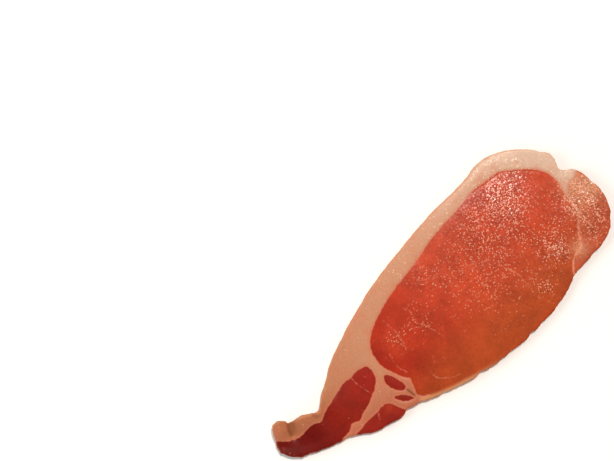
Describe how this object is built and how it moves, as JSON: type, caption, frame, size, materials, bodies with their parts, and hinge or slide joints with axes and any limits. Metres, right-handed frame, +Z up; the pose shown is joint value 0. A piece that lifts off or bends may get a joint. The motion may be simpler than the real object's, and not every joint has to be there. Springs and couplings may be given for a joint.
{
  "type": "raw back bacon rasher",
  "caption": "Thin raw slice of back bacon lying flat: round lean loin at one end, narrow puckered belly tail at the other, a band of fat along one side.",
  "frame": {"origin": "centre of the bounding box of the rasher, at the height of the surface that it lies on", "axes": "+X from the belly tail to the loin, +Y towards the back fat, +Z up through the thickness"},
  "size_m": [0.2118, 0.0812, 0.0071],
  "materials": {
    "raw_bacon": "wet, semi-gloss"
  },
  "bodies": {
    "root": {"rasher": "raw_bacon"}
  },
  "joints": []
}
